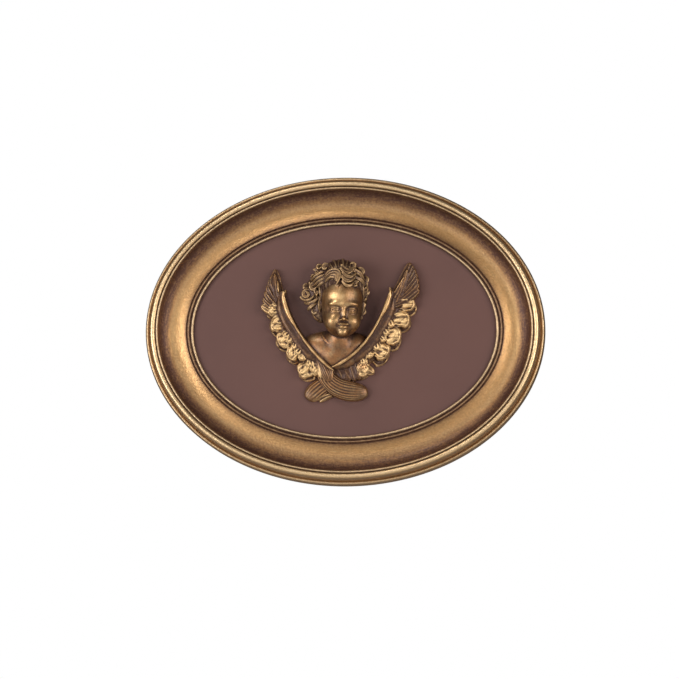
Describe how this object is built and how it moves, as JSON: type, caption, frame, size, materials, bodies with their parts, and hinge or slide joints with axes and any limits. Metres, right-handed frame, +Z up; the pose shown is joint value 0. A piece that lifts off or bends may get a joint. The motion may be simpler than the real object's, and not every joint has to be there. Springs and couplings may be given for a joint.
{
  "type": "cherub wall plaque",
  "caption": "Oval wall plaque: a moulded antique gold frame round a plain brown board that carries a cast bronze-finish cherub head with curls, bare chest and crossed wings",
  "frame": {"origin": "middle of the flat back, which lies against the wall", "axes": "+X to the right seen from the front, +Z up, +Y out of the back into the wall; the face looks along -Y"},
  "size_m": [0.216, 0.0284, 0.167],
  "materials": {
    "frame": "cast resin, semi-gloss antique gold with a dark brown patina in the cove and grooves",
    "panel": "fibre board, smooth matte mauve-brown paint",
    "cherub": "cast resin, polished bronze and gold with a dark brown patina in the recesses"
  },
  "bodies": {
    "root": {"frame": "frame", "panel": "panel", "cherub": "cherub"}
  },
  "joints": []
}
